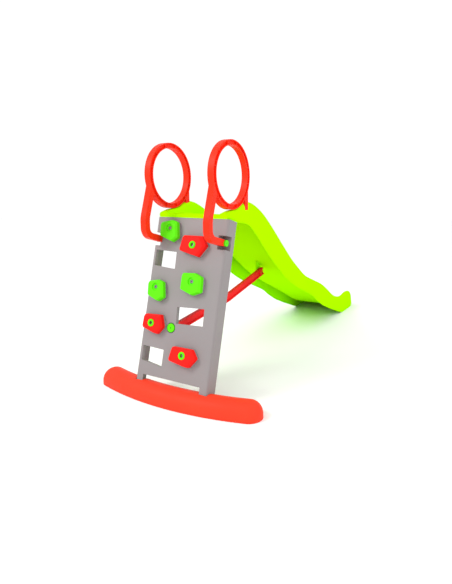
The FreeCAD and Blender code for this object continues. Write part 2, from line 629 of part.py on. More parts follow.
def slide_front_wall():
    """The apron that closes the front of the deck and of the two rails."""
    skin = slide_section(TOP_FRONT_Y + 1.0, SLIDE_WALL / 2)[2:]
    profile = [(skin[0][0], PANEL_SLANT * COS)] + skin
    loop = [Vector(x, TOP_FRONT_Y + 1.0, z) for x, z in profile]
    loop += [Vector(-x, TOP_FRONT_Y + 1.0, z) for x, z in reversed(profile)]
    return Part.Face(Part.makePolygon(loop + [loop[0]])).extrude(Vector(0, SLIDE_WALL, 0))


def brace_bolt_place():
    along = (BRACE_END - BRACE_BEND).normalize()
    return BRACE_END - along * BRACE_BOLT_BACK


def brace_seat_x():
    """The flat side of the slide's hanging lug, where the brace is bolted on."""
    return brace_bolt_place().x - BRACE_THICK / 2 - BRACE_PAD_STEP


def slide_lug():
    """The lug under the channel that the end of the brace is bolted to."""
    spot, x = brace_bolt_place(), brace_seat_x() - LUG_THICK
    tops = [(y, blend_line(BED, y) - 1.0) for y in (spot.y - LUG_HALF_WIDTH, spot.y + LUG_HALF_WIDTH)]
    low = spot.z - LUG_HALF_WIDTH
    loop = [Vector(x, tops[0][0], low), Vector(x, tops[1][0], low), Vector(x, tops[1][0], tops[1][1]),
            Vector(x, tops[0][0], tops[0][1]), Vector(x, tops[0][0], low)]
    return Part.Face(Part.makePolygon(loop)).extrude(Vector(LUG_THICK, 0, 0))


def make_slide():
    stations = head_stations() + [CREST_Y + part * RUN for part in STATION_SHARES]
    body = Part.makeLoft([section_wire(y) for y in stations], True, True)
    body = body.fuse(slide_front_wall())
    x0, x1 = HANDLE_MID_X - HANDLE_THICK / 2, HANDLE_MID_X + HANDLE_THICK / 2
    y0, y1 = REAR_LEG_Y - LEG_WIDTH / 2, REAR_LEG_Y + LEG_WIDTH / 2
    floor = rear_leg_bottom()
    additions, cuts = [], []
    gap = SEAT_GAP
    for side in (-1, 1):
        sleeve = box(x0 - SOCKET_WALL - gap, x1 + SOCKET_WALL + gap, y0 - SOCKET_WALL - gap,
                     y1 + SOCKET_WALL + gap, floor - SOCKET_WALL, rim_z(REAR_LEG_Y) - 6)
        inside = slide_section(REAR_LEG_Y, 0.5)
        sleeve = sleeve.common(box(inside[8][0], inside[2][0], y0 - 20, y1 + 20, 0, 2000))
        tube = box(x0 - gap, x1 + gap, y0 - gap, y1 + gap, floor, floor + 200)
        screw = Vector(x0 - 30, REAR_LEG_Y, rear_screw_z())
        drill = rod(SMALL_SCREW / 2 + HOLE_GAP, screw, Vector(x0 + 1, REAR_LEG_Y, rear_screw_z()))
        counter = rod(SMALL_HEAD / 2 + 0.5, screw, Vector(screw_seat_x(), REAR_LEG_Y, rear_screw_z()))
        for tool, target in ((sleeve, additions), (tube, cuts), (drill, cuts), (counter, cuts)):
            target.append(tool if side > 0 else mirrored(tool))
    for start, axis in deck_screw_places():
        rise = start + axis * PANEL_WALL
        post = rod(9.0, rise, rise + axis * 40)
        additions.append(post.common(box(-400, 400, 0, 600, 0, DECK_Z - 1)))
        cuts.append(rod(SMALL_SCREW / 2 + HOLE_GAP, start, start + axis * 16))
    spot = brace_bolt_place()
    seat = brace_seat_x()
    additions.append(slide_lug())
    cuts.append(rod(BOLT / 2 + HOLE_GAP, Vector(seat - 20, spot.y, spot.z), Vector(seat + 20, spot.y, spot.z)))
    cuts.append(box(-SLIDE_HALF - 50, SLIDE_HALF + 50, CREST_Y, SLIDE_END_Y + 10, -50, 0))
    body = body.fuse(additions).cut(cuts)
    return body.cut(panel_room()).removeSplitter()


def screw_seat_x():
    """Where the head of the screw in a rear leg's socket sits, on the channel side."""
    return HANDLE_MID_X - HANDLE_THICK / 2 - SEAT_GAP - SOCKET_WALL


def panel_room():
    """The space that the panel, its notch liners and its top wall keep clear of the slide."""
    wide = HALF + 20
    room = box(-wide, wide, -60, NOTCH_DEPTH + 8, 0, PANEL_SLANT - 20)
    room = room.fuse(box(-wide, wide, -60, PANEL_WALL + 1.5, 0, PANEL_SLANT + SEAT_GAP))
    thick = TOP_WALL_DEPTH + 1.5
    room = room.fuse(box(-wide, wide, -60, thick, PANEL_SLANT - 25, PANEL_SLANT))
    inner = HALF - PANEL_WALL - 1.0
    for side in (-1, 1):
        a, b = sorted((side * inner, side * wide))
        room = room.fuse(box(a, b, -60, PANEL_DEPTH + 1, 0, PANEL_SLANT + SEAT_GAP))
    return leaned(room)


def make_leg_screws():
    """Screws that hold the rear legs in their sockets, driven from inside the slide."""
    seat = Vector(screw_seat_x(), REAR_LEG_Y, rear_screw_z())
    piece = bolt(seat, X_AXIS, 18.0, shank=SMALL_SCREW, head=SMALL_HEAD, height=3.5)
    return Part.makeCompound([piece, mirrored(piece)])


def make_deck_screws():
    return Part.makeCompound([bolt(start, axis, 14.0, shank=SMALL_SCREW, head=SMALL_HEAD, height=3.5)
                              for start, axis in deck_screw_places()])


# ---- base -------------------------------------------------------------------------------------------------
def base_arc():
    """Radius of the base's centre line, its centre and the half-angle of its straight body."""
    reach = BASE_HALF_LENGTH - BASE_RADIUS
    radius = (reach ** 2 + BASE_SAG ** 2) / (2 * BASE_SAG)
    return radius, BASE_Y + radius, math.degrees(math.asin(reach / radius))


def bow(section):
    """A bar with a half-round top of the given radius along the base's arc, with round ends."""
    radius, centre_y, half_angle = base_arc()
    centre = Vector(0, centre_y, 0)
    middle = Vector(0, centre_y - radius, 0)
    front, back, stem = middle - Y_AXIS * section, middle + Y_AXIS * section, Z_AXIS * BASE_STEM
    edges = [Part.LineSegment(front, front + stem).toShape(),
             Part.Arc(front + stem, middle + stem + Z_AXIS * section, back + stem).toShape(),
             Part.LineSegment(back + stem, back).toShape(),
             Part.LineSegment(back, front).toShape()]
    face = Part.Face(Part.Wire(edges))
    face.rotate(centre, Z_AXIS, -half_angle)
    body = face.revolve(centre, Z_AXIS, 2 * half_angle)
    for side in (-1, 1):
        turn = math.radians(half_angle)
        end = Vector(side * radius * math.sin(turn), centre_y - radius * math.cos(turn), 0)
        ball = Part.makeSphere(section, end + Z_AXIS * BASE_STEM, Z_AXIS, 0, 90, 360)
        body = body.fuse([ball, Part.makeCylinder(section, BASE_STEM, end)])
    return body


def make_base():
    outer = bow(BASE_RADIUS)
    body = outer.cut(bow(BASE_RADIUS - BASE_WALL))
    foot_inner, foot_outer = HALF - FOOT_WIDTH - POCKET_GAP, HALF + POCKET_GAP
    wall = BASE_WALL
    pockets, rooms = [], []
    for side in (-1, 1):
        a, b = sorted((side * (foot_inner - wall), side * (foot_outer + wall)))
        block = leaned(box(a, b, -POCKET_GAP - wall, PANEL_DEPTH + POCKET_GAP + wall, -40, 150))
        pockets.append(block.common(outer).common(box(-900, 900, -300, 300, POCKET_FLOOR - POCKET_FLOOR_WALL, 200)))
        a, b = sorted((side * foot_inner, side * foot_outer))
        room = leaned(box(a, b, -POCKET_GAP, PANEL_DEPTH + POCKET_GAP, -40, 150))
        rooms.append(room.common(box(-900, 900, -300, 300, POCKET_FLOOR, 200)))
    drills = [rod(SMALL_SCREW / 2 + HOLE_GAP, point - Z_AXIS * 12, point + Z_AXIS) for point in base_screw_points()]
    web_half = BASE_RADIUS - wall / 2
    webs = []
    radius, centre_y, half_angle = base_arc()
    for turn in (-0.72, -0.2, 0.2, 0.72):
        angle = math.radians(half_angle * turn)
        web = box(-1.5, 1.5, -radius - web_half, -radius + web_half, 2.0, BASE_RADIUS + BASE_STEM)
        web.translate(Vector(0, centre_y, 0))
        web.rotate(Vector(0, centre_y, 0), Z_AXIS, math.degrees(angle))
        webs.append(web.common(outer))
    return body.fuse(pockets + webs).cut(rooms + drills).removeSplitter()


def make_base_screws():
    seat_z = POCKET_FLOOR - POCKET_FLOOR_WALL
    screws = []
    for point in base_screw_points():
        seat = Vector(point.x, point.y, seat_z)
        screws.append(bolt(seat, Z_AXIS, POCKET_FLOOR_WALL + FOOT_PAD - 1.0, shank=SMALL_SCREW,
                           head=SMALL_HEAD, height=3.5))
    return Part.makeCompound(screws)


# ---- brace --------------------------------------------------------------------------------------------------
def brace_sections(height, thick, shift):
    """Four-cornered sections at the foot, the bend and the end of the brace."""
    foot = leaned_point(BRACE_FOOT_U, BRACE_FOOT_DEPTH, brace_foot_v())
    bend, end = BRACE_BEND, BRACE_END
    first, second = (bend - foot).normalize(), (end - bend).normalize()
    start = foot - first * (BRACE_HEIGHT / 2)
    wires = []
    for point, before, after in ((start, first, first), (bend, first, second), (end, second, second)):
        along = (before + after).normalize()
        flat = before.cross(Z_AXIS).normalize() + after.cross(Z_AXIS).normalize()
        flat = flat.normalize()
        mitred = point is bend
        up = Z_AXIS if mitred else flat.cross(along).normalize()
        plan_turn = Vector(before.x, before.y, 0).getAngle(Vector(after.x, after.y, 0))
        widen = 1.0 / math.cos(plan_turn / 2)
        centre = point + flat * shift
        tall = height / 2 / (math.cos(math.asin(along.z)) if mitred else 1.0)
        a, b = up * tall, flat * (thick / 2 * widen)
        corners = [centre + a + b, centre - a + b, centre - a - b, centre + a - b]
        wires.append(Part.makePolygon(corners + [corners[0]]))
    return wires


def make_brace():
    body = Part.makeLoft(brace_sections(BRACE_HEIGHT, BRACE_THICK, 0.0), True, True)
    groove_height = BRACE_HEIGHT - 14.0
    groove = Part.makeLoft(brace_sections(groove_height, BRACE_GROOVE, BRACE_THICK / 2 - BRACE_GROOVE / 2 + 0.5),
                           True, True)
    v = brace_foot_v()
    plate = RECESS_DEPTH + PANEL_WALL
    foot = leaned_point(BRACE_FOOT_U, 0, v)
    inward = Vector(0, COS, -SIN)
    lug = rod(BRACE_HEIGHT / 2, foot + inward * plate, foot + inward * (BRACE_FOOT_DEPTH + 4))
    spot = brace_bolt_place()
    seat = brace_seat_x()
    pad_end = rod(BRACE_HEIGHT / 2 - 6, Vector(seat, spot.y, spot.z),
                  Vector(seat + BRACE_PAD_STEP + BRACE_THICK, spot.y, spot.z))
    wall_room = leaned(box(-HALF, HALF, -100, plate + SEAT_GAP, 0, PANEL_SLANT))
    body = body.cut([groove, wall_room]).fuse([lug, pad_end])
    nut_pocket = foot + inward * (plate + 8.0)
    pocket_end = nut_pocket + inward * (NUT_HEIGHT + 0.5)
    body = body.cut([rod(BOLT / 2 + HOLE_GAP, foot, pocket_end + inward * 3),
                     rod(NUT_FLATS * 0.72 + 1, nut_pocket, pocket_end),
                     rod(BOLT / 2 + HOLE_GAP, Vector(seat - 5, spot.y, spot.z), Vector(seat + 40, spot.y, spot.z))])
    return body.removeSplitter()


def make_brace_cap():
    """The green cap bolt that holds the brace to the climbing face, in a round recess."""
    v = brace_foot_v()
    inward = Vector(0, COS, -SIN)
    seat = leaned_point(BRACE_FOOT_U, RECESS_DEPTH, v)
    return bolt(seat, inward, PANEL_WALL + 8.0 + NUT_HEIGHT, head=BRACE_CAP, height=RECESS_DEPTH + 3.0)


def make_brace_foot_nut():
    inward = Vector(0, COS, -SIN)
    return nut(leaned_point(BRACE_FOOT_U, RECESS_DEPTH + PANEL_WALL + 8.0, brace_foot_v()), inward)


def make_brace_slide_bolt():
    """Driven through the slide's lug, so that its tip stays inside the brace."""
    spot = brace_bolt_place()
    seat = Vector(brace_seat_x() - LUG_THICK, spot.y, spot.z)
    return bolt(seat, X_AXIS, LUG_THICK + BRACE_PAD_STEP + BRACE_THICK - 1.0)


# ---- assembly -------------------------------------------------------------------------------------------------
def model():
    nodes = {
        "climbing_panel": make_panel(),
        "base_bow": make_base(),
        "slide_body": make_slide(),
        "handle_right": make_handle(1),
        "handle_left": make_handle(-1),
        "handle_foot_bolt_right": make_foot_bolt(1),
        "handle_foot_bolt_left": make_foot_bolt(-1),
        "handle_foot_nuts": make_foot_nuts(),
        "handle_leg_screws": make_leg_screws(),
        "deck_screws": make_deck_screws(),
        "base_screws": make_base_screws(),
        "brace": make_brace(),
        "brace_cap_bolt": make_brace_cap(),
        "brace_foot_nut": make_brace_foot_nut(),
        "brace_slide_bolt": make_brace_slide_bolt(),
        "hold_ring_caps": make_hold_rings(),
        "hold_bolts": make_hold_bolts(),
        "hold_nuts": make_hold_nuts(),
    }
    for name in HOLDS:
        nodes[name] = make_hold(name)
    front = BASE_Y - BASE_RADIUS
    for shape in nodes.values():
        shape.translate(Vector(0, -(front + SLIDE_END_Y) / 2, 0))
    return nodes


def main():
    os.makedirs("parts", exist_ok=True)
    for name, shape in model().items():
        box_ = shape.BoundBox
        print(f"{name:26s} solids {len(shape.Solids)} valid {shape.isValid()} volume {shape.Volume:12.0f}"
              f"  x {box_.XMin:7.1f} {box_.XMax:7.1f}  y {box_.YMin:7.1f} {box_.YMax:7.1f}"
              f"  z {box_.ZMin:6.1f} {box_.ZMax:6.1f}")
        shape.exportStep(f"parts/{name}.step")


main()
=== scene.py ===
"""Toddler's climbing wall and slide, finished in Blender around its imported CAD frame.

Metres, +Z up, +X to the climber's right, +Y from the climber to the foot of the
slide. Side-view lengths are measured from the line where the climbing face
would meet the floor, and panel places are (across, into the wall, up the slope)."""

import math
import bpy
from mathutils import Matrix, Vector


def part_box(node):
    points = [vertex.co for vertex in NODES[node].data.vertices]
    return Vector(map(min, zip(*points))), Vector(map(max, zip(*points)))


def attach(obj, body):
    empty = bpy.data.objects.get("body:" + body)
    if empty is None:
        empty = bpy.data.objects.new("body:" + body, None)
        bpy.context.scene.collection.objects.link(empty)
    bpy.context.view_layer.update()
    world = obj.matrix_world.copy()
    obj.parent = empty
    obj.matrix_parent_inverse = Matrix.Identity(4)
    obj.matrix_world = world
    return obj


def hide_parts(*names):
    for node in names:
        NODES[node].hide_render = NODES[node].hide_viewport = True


bl_info = {
    "name": "Climbing Wall and Slide",
    "version": (1, 0, 0),
    "blender": (4, 5, 0),
    "location": "View3D > Sidebar > Climbing Wall",
    "description": "Builds a toddler's climbing wall with a slide around its CAD frame",
    "category": "Object",
}

import bmesh
import bpy
from bpy.props import FloatProperty, FloatVectorProperty, IntProperty, PointerProperty
from mathutils import Euler, Matrix, Vector

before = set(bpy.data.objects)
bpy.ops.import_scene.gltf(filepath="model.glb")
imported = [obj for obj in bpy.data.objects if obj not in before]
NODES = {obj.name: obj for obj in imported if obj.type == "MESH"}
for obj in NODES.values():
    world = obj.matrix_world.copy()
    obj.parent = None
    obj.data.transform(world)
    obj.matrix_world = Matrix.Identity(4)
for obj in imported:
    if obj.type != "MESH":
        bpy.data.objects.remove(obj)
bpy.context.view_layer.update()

# ---- sizes that the pieces share, in metres ---------------------------------
LEAN = math.radians(15.3)
SIN, COS = math.sin(LEAN), math.cos(LEAN)
SLIDE_LENGTH = 2.252  # from the climbing face's floor line to the slide's end
FACE_LINE_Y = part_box("slide_body")[1].y - SLIDE_LENGTH
LOWER_EDGE, UPPER_EDGE = 0.1108, 0.886  # of the climbing face, up the slope
PAD = 0.010  # height of the raised pad under each hold
BOLT_HEAD_HEIGHT = 0.005
OUT_OF_WALL = Vector((0.0, -COS, SIN))


def on_wall(across, into, up):
    """A place in panel coordinates, in the object's frame."""
    return Vector((across, up * SIN + into * COS + FACE_LINE_Y, up * COS - into * SIN))


def face_height(share):
    """A height up the climbing face, from a share of it."""
    return LOWER_EDGE + share * (UPPER_EDGE - LOWER_EDGE)


# ---- meshes -----------------------------------------------------------------
WELD = 2e-5  # corners nearer than this are one
FLAT_ENOUGH = math.radians(0.03)  # triangles within this angle become one face


def new_object(name, data):
    made = bpy.data.objects.new(name, data)
    bpy.context.scene.collection.objects.link(made)
    return made


def mesh_of(name, form, sharp=30.0):
    """A mesh from a finished form, smooth except at its real corners."""
    bmesh.ops.recalc_face_normals(form, faces=form.faces)
    mesh = bpy.data.meshes.new(name)
    form.to_mesh(mesh)
    form.free()
    mesh.shade_smooth()
    mesh.set_sharp_from_angle(angle=math.radians(sharp))
    return mesh


def loft(form, rings, capped=True):
    """Skins closed rings of equally many points, and returns the rings' vertices."""
    rows = [[form.verts.new(point) for point in ring] for ring in rings]
    count = len(rows[0])
    for low, high in zip(rows, rows[1:]):
        for i in range(count):
            j = (i + 1) % count
            form.faces.new((low[i], low[j], high[j], high[i]))
    if capped:
        form.faces.new(rows[0])
        form.faces.new(rows[-1])
    return rows


def finish(piece, slot, *nodes):
    """Fixes a finished piece to the frame in place of its CAD nodes."""
    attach(piece, "root")
    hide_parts(*nodes)
    return piece


def dressed(piece, material):
    """The piece, with one material all over."""
    piece.data.materials.clear()
    piece.data.materials.append(material)
    return piece


def soften(piece, width):
    """Rounds a piece's corners a little, as a mould does."""
    bevel = piece.modifiers.new("rounded corners", "BEVEL")
    bevel.width = width
    bevel.segments = 2
    bevel.limit_method = "ANGLE"
    bevel.angle_limit = math.radians(30.0)
    bevel.use_clamp_overlap = True
    bevel.miter_outer = "MITER_ARC"
    bevel.harden_normals = False
    smooth = piece.modifiers.new("even shading", "WEIGHTED_NORMAL")
    smooth.keep_sharp = False
    smooth.weight = 60
    return piece


def joined_copy(name, node):
    """A piece with the CAD node's shape, its loose triangles joined up."""
    form = bmesh.new()
    form.from_mesh(NODES[node].data)
    bmesh.ops.remove_doubles(form, verts=form.verts, dist=WELD)
    bmesh.ops.dissolve_limit(form, angle_limit=FLAT_ENOUGH, verts=form.verts, edges=form.edges)
    return new_object(name, mesh_of(name, form, 28.0))


# ---- materials --------------------------------------------------------------
MOULDED_IOR = 1.49


def node_in(tree, kind, **settings):
    """A node with its settings, its inputs given by name or number."""
    made = tree.nodes.new(kind)
    values = settings.pop("values", {})
    for key, value in settings.items():
        setattr(made, key, value)
    for key, value in values.items():
        made.inputs[key].default_value = value
    return made


def moulded_plastic(name, colour, deep, roughness=0.36, grain=0.10, clouding=3.0, specular=0.3):
    """Tinted plastic: slow clouds in the tint, fine moulded grain and slight sink waves."""
    material = bpy.data.materials.new(name)
    material.use_nodes = True
    material.diffuse_color = (*colour, 1.0)
    tree = material.node_tree
    shader = tree.nodes["Principled BSDF"]
    shader.inputs["IOR"].default_value = MOULDED_IOR
    shader.inputs["Specular IOR Level"].default_value = specular
    place = node_in(tree, "ShaderNodeTexCoord").outputs["Object"]
    clouds = node_in(tree, "ShaderNodeTexNoise",
                     values={"Scale": clouding, "Detail": 3.0, "Roughness": 0.55})
    tint = node_in(tree, "ShaderNodeValToRGB")
    tint.color_ramp.elements[0].position = 0.30
    tint.color_ramp.elements[0].color = (*deep, 1.0)
    tint.color_ramp.elements[1].position = 0.62
    tint.color_ramp.elements[1].color = (*colour, 1.0)
    waves = node_in(tree, "ShaderNodeTexNoise", values={"Scale": 11.0, "Detail": 1.0})
    fine = node_in(tree, "ShaderNodeTexNoise",
                   values={"Scale": 620.0, "Detail": 2.0, "Roughness": 0.6})
    dull = node_in(tree, "ShaderNodeMapRange",
                   values={"From Min": 0.3, "From Max": 0.7, "To Min": roughness - 0.05,
                           "To Max": roughness + 0.07})
    sink = node_in(tree, "ShaderNodeBump", values={"Strength": 0.12, "Distance": 0.004})
    skin = node_in(tree, "ShaderNodeBump", values={"Strength": grain, "Distance": 0.0003})
    for texture in (clouds, waves, fine):
        tree.links.new(place, texture.inputs["Vector"])
    tree.links.new(clouds.outputs["Fac"], tint.inputs["Fac"])
    tree.links.new(tint.outputs["Color"], shader.inputs["Base Color"])
    tree.links.new(waves.outputs["Fac"], dull.inputs["Value"])
    tree.links.new(dull.outputs["Result"], shader.inputs["Roughness"])
    tree.links.new(waves.outputs["Fac"], sink.inputs["Height"])
    tree.links.new(fine.outputs["Fac"], skin.inputs["Height"])
    tree.links.new(sink.outputs["Normal"], skin.inputs["Normal"])
    tree.links.new(skin.outputs["Normal"], shader.inputs["Normal"])
    return material


def zinc_steel(name, colour, roughness=0.34):
    """Bright zinc-plated steel with a faint mottle and fine turning marks."""
    material = bpy.data.materials.new(name)
    material.use_nodes = True
    material.diffuse_color = (*colour, 1.0)
    tree = material.node_tree
    shader = tree.nodes["Principled BSDF"]
    shader.inputs["Metallic"].default_value = 0.9
    place = node_in(tree, "ShaderNodeTexCoord").outputs["Object"]
    mottle = node_in(tree, "ShaderNodeTexNoise", values={"Scale": 160.0, "Detail": 3.0})
    tint = node_in(tree, "ShaderNodeValToRGB")
    tint.color_ramp.elements[0].color = (*(part * 0.8 for part in colour), 1.0)
    tint.color_ramp.elements[1].color = (*colour, 1.0)
    dull = node_in(tree, "ShaderNodeMapRange",
                   values={"To Min": roughness - 0.08, "To Max": roughness + 0.10})
    marks = node_in(tree, "ShaderNodeBump", values={"Strength": 0.15, "Distance": 0.0002})
    tree.links.new(place, mottle.inputs["Vector"])
    tree.links.new(mottle.outputs["Fac"], tint.inputs["Fac"])
    tree.links.new(tint.outputs["Color"], shader.inputs["Base Color"])
    tree.links.new(mottle.outputs["Fac"], dull.inputs["Value"])
    tree.links.new(dull.outputs["Result"], shader.inputs["Roughness"])
    tree.links.new(mottle.outputs["Fac"], marks.inputs["Height"])
    tree.links.new(marks.outputs["Normal"], shader.inputs["Normal"])
    return material


def made_once(name, maker, *values, **named):
    return bpy.data.materials.get(name) or maker(name, *values, **named)


def darker(colour, share):
    return tuple(part * share for part in colour)


# ---- Geometry Nodes ---------------------------------------------------------
class Workings:
    """A Geometry Nodes tree with named sizes, that ends realised and in its material."""

    def __init__(self, name, sizes):
        self.tree = bpy.data.node_groups.new(name, "GeometryNodeTree")
        face = self.tree.interface
        face.new_socket("Geometry", in_out="INPUT", socket_type="NodeSocketGeometry")
        self.keys = {}
        for label, value in sizes.items():
            kind = "NodeSocketInt" if isinstance(value, int) else "NodeSocketFloat"
            socket = face.new_socket(label, in_out="INPUT", socket_type=kind)
            socket.default_value = value
            self.keys[label] = socket.identifier
        socket = face.new_socket("Finish", in_out="INPUT", socket_type="NodeSocketMaterial")
        self.keys["Finish"] = socket.identifier
        face.new_socket("Geometry", in_out="OUTPUT", socket_type="NodeSocketGeometry")
        self.given = self.tree.nodes.new("NodeGroupInput").outputs
        self.sizes = sizes

    def node(self, kind, values=None, **settings):
        """A node, its inputs linked from sockets or set to plain values."""
        made = node_in(self.tree, kind, **settings)
        for key, value in (values or {}).items():
            if isinstance(value, bpy.types.NodeSocket):
                self.tree.links.new(value, made.inputs[key])
            else:
                made.inputs[key].default_value = value
        return made

    def sum(self, operation, a, b):
        return self.node("ShaderNodeMath", {0: a, 1: b}, operation=operation).outputs[0]

    def along_z(self, geometry, height):
        """Geometry raised by a height."""
        raised = self.node("ShaderNodeCombineXYZ", {"Z": height}).outputs[0]
        return self.node("GeometryNodeTransform",
                         {"Geometry": geometry, "Translation": raised}).outputs[0]

    def join(self, *parts):
        joined = self.tree.nodes.new("GeometryNodeJoinGeometry")
        for part in parts:
            self.tree.links.new(part, joined.inputs[0])
        return joined.outputs[0]

    def on_places(self, item):
        """item on each given point, its +Z turned to the point's outward direction."""
        facing = self.node("GeometryNodeInputNamedAttribute", {"Name": "outward"},
                           data_type="FLOAT_VECTOR").outputs[0]
        turned = self.node("FunctionNodeAlignRotationToVector", {"Vector": facing},
                           axis="Z").outputs[0]
        return self.node("GeometryNodeInstanceOnPoints",
                         {"Points": self.given["Geometry"], "Instance": item,
                          "Rotation": turned}).outputs[0]

    def end(self, geometry):
        solid = self.node("GeometryNodeRealizeInstances", {"Geometry": geometry}).outputs[0]
        dressed = self.node("GeometryNodeSetMaterial",
                            {"Geometry": solid, "Material": self.given["Finish"]}).outputs[0]
        output = self.tree.nodes.new("NodeGroupOutput")
        self.tree.links.new(dressed, output.inputs[0])

    def make(self, name, mesh, finish_material, sharp=30.0, **sizes):
        """Runs the tree on a mesh and returns the result as a plain mesh object."""
        piece = new_object(name, mesh)
        working = piece.modifiers.new(self.tree.name, "NODES")
        working.node_group = self.tree
        for label, value in {**self.sizes, **sizes}.items():
            working[self.keys[label]] = value
        working[self.keys["Finish"]] = finish_material
        depsgraph = bpy.context.evaluated_depsgraph_get()
        result = bpy.data.meshes.new_from_object(piece.evaluated_get(depsgraph))
        piece.modifiers.remove(working)
        piece.data = result
        form = bmesh.new()
        form.from_mesh(result)
        bmesh.ops.remove_doubles(form, verts=form.verts, dist=1e-6)
        bmesh.ops.recalc_face_normals(form, faces=form.faces)
        form.to_mesh(result)
        form.free()
        result.shade_smooth()
        result.set_sharp_from_angle(angle=math.radians(sharp))
        return piece


def places(name, spots):
    """A mesh of points, each with the direction that its fastener faces."""
    mesh = bpy.data.meshes.new(name)
    mesh.from_pydata([spot for spot, outward in spots], [], [])
    facing = mesh.attributes.new("outward", "FLOAT_VECTOR", "POINT")
    facing.data.foreach_set("vector", [part for spot, outward in spots for part in outward])
    return mesh


def screw_workings():
    """A domed socket screw or bolt: z = 0 is its seat, its shank goes down."""
    w = Workings("socket screw", {"Head Radius": 0.0085, "Head Height": BOLT_HEAD_HEIGHT,
                                  "Shank Radius": 0.004, "Shank Length": 0.025,
                                  "Key Radius": 0.0034, "Edge": 0.0009})
    g = w.given
    rim = w.sum("SUBTRACT", g["Head Radius"], g["Edge"])
    wall = w.sum("SUBTRACT", g["Head Height"], g["Edge"])
    side = w.node("GeometryNodeMeshCone", {"Vertices": 36, "Radius Top": g["Head Radius"],
                                           "Radius Bottom": g["Head Radius"], "Depth": wall})
    crown = w.node("GeometryNodeMeshCone", {"Vertices": 36, "Radius Top": rim,
                                            "Radius Bottom": g["Head Radius"],
                                            "Depth": g["Edge"]})
    shank = w.node("GeometryNodeMeshCylinder",
                   {"Vertices": 20, "Radius": g["Shank Radius"], "Depth": g["Shank Length"]})
    down = w.sum("MULTIPLY", g["Shank Length"], -0.5)
    body = w.node("GeometryNodeMeshBoolean", operation="UNION", solver="EXACT")
    w.tree.links.new(side.outputs["Mesh"], body.inputs["Mesh 2"])
    w.tree.links.new(w.along_z(crown.outputs["Mesh"], wall), body.inputs["Mesh 2"])
    w.tree.links.new(w.along_z(shank.outputs["Mesh"], w.sum("ADD", down, 0.0004)),
                     body.inputs["Mesh 2"])
    key = w.node("GeometryNodeMeshCylinder",
                 {"Vertices": 6, "Radius": g["Key Radius"], "Depth": g["Head Height"]})
    lifted = w.along_z(key.outputs["Mesh"], w.sum("MULTIPLY", g["Head Height"], 0.95))
    cut = w.node("GeometryNodeMeshBoolean", {"Mesh 1": body.outputs["Mesh"]},
                 operation="DIFFERENCE", solver="EXACT")
    w.tree.links.new(lifted, cut.inputs["Mesh 2"])
    w.end(w.on_places(cut.outputs["Mesh"]))
    return w


def ring_cap_workings():
    """A collar round a hold's bolt: z = 0 is its seat."""
    w = Workings("bolt collar", {"Radius": 0.0178, "Bore Radius": 0.009, "Height": 0.008,
                                 "Rounding": 0.0016})
    g = w.given
    wide = w.sum("SUBTRACT", g["Radius"], g["Bore Radius"])
    middle = w.sum("MULTIPLY", w.sum("ADD", g["Radius"], g["Bore Radius"]), 0.5)
    section = w.node("GeometryNodeCurvePrimitiveQuadrilateral",
                     {"Width": wide, "Height": g["Height"]}).outputs[0]
    section = w.node("GeometryNodeFilletCurve", {"Curve": section, "Count": 3,
                                                 "Radius": g["Rounding"],
                                                 "Limit Radius": True}, mode="POLY").outputs[0]
    path = w.node("GeometryNodeCurvePrimitiveCircle", {"Resolution": 40, "Radius": middle})
    collar = w.node("GeometryNodeCurveToMesh", {"Curve": path.outputs[0],
                                                "Profile Curve": section}).outputs[0]
    w.end(w.on_places(w.along_z(collar, w.sum("MULTIPLY", g["Height"], 0.5))))
    return w


# ---- outlines ---------------------------------------------------------------
def rounded_outline(corners, radius, arc_steps=5, run_steps=6):
    """Points round a polygon whose corners are arcs, with points along its runs too."""
    joins = []
    count = len(corners)
    points = [Vector(corner) for corner in corners]
    for i, corner in enumerate(points):
        before = (points[i - 1] - corner).normalized()
        after = (points[(i + 1) % count] - corner).normalized()
        half_turn = before.angle(after) / 2
        reach = radius / math.tan(half_turn)
        centre = corner + (before + after).normalized() * (radius / math.sin(half_turn))
        start, end = corner + before * reach - centre, corner + after * reach - centre
        turn = start.angle_signed(end)
        arc = []
        for k in range(arc_steps + 1):
            spin = Matrix.Rotation(-turn * k / arc_steps, 2)
            arc.append(centre + spin @ start)
        joins.append(arc)
    loop = []
    for i, arc in enumerate(joins):
        following = joins[(i + 1) % count][0]
        loop.extend(arc)
        loop.extend(arc[-1].lerp(following, k / run_steps) for k in range(1, run_steps))
    return loop


def scaled(corners, factor, shift=(0.0, 0.0)):
    """Corners drawn in towards their middle, then shifted."""
    middle = sum((Vector(corner) for corner in corners), Vector((0, 0))) / len(corners)
    return [middle + (Vector(corner) - middle) * factor + Vector(shift) for corner in corners]


def smooth_line(knots, y):
    """A smooth line through a few knots (y, value), level with its trend at each."""
    if y <= knots[0][0]:
        return knots[0][1]
    if y >= knots[-1][0]:
        return knots[-1][1]
    slopes = []
    for i in range(len(knots)):
        low, high = max(i - 1, 0), min(i + 1, len(knots) - 1)
        slopes.append((knots[high][1] - knots[low][1]) / (knots[high][0] - knots[low][0]))
    i = next(i for i in range(len(knots) - 1) if y <= knots[i + 1][0])
    (ya, za), (yb, zb) = knots[i], knots[i + 1]
    run = yb - ya
    t = (y - ya) / run
    return ((2 * t ** 3 - 3 * t ** 2 + 1) * za + (t ** 3 - 2 * t ** 2 + t) * run * slopes[i]
            + (3 * t ** 2 - 2 * t ** 3) * zb + (t ** 3 - t ** 2) * run * slopes[i + 1])


